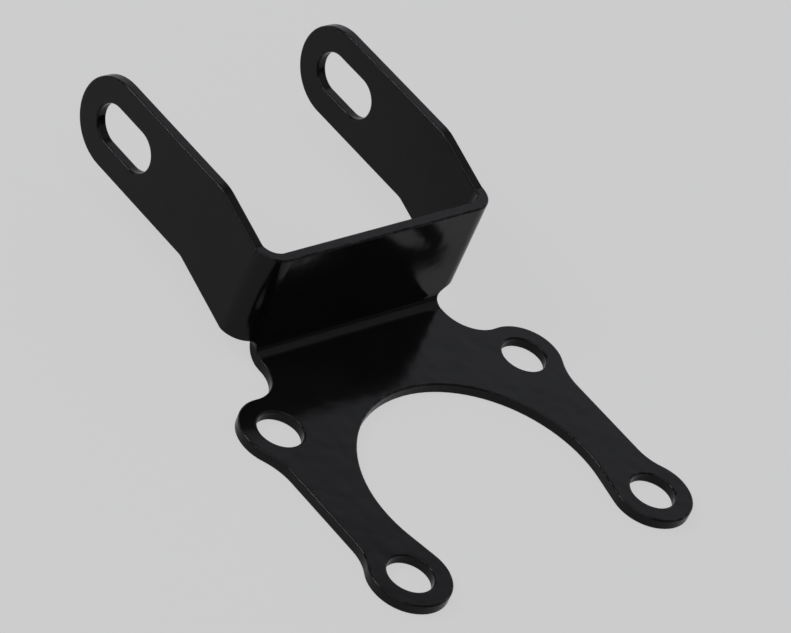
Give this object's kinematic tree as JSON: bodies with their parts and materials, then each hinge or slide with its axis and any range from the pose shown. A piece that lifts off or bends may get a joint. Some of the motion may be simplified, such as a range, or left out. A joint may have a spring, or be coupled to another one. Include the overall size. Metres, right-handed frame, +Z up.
{
  "type": "light mounting bracket",
  "caption": "Folded steel bracket for a light: forked base plate with bolt holes in round ears, an upright web, and slotted arms reaching back from it.",
  "frame": {"origin": "middle of the four bolt holes, on the base plate's underside", "axes": "+X along the main bend, across the arms; +Y from the fork's open end back towards the arms' ends; +Z up, from the plate's underside towards the arms"},
  "size_m": [0.0956, 0.1461, 0.0356],
  "materials": {
    "black_coat": "gloss"
  },
  "bodies": {
    "root": {"bracket": "black_coat"}
  },
  "joints": []
}
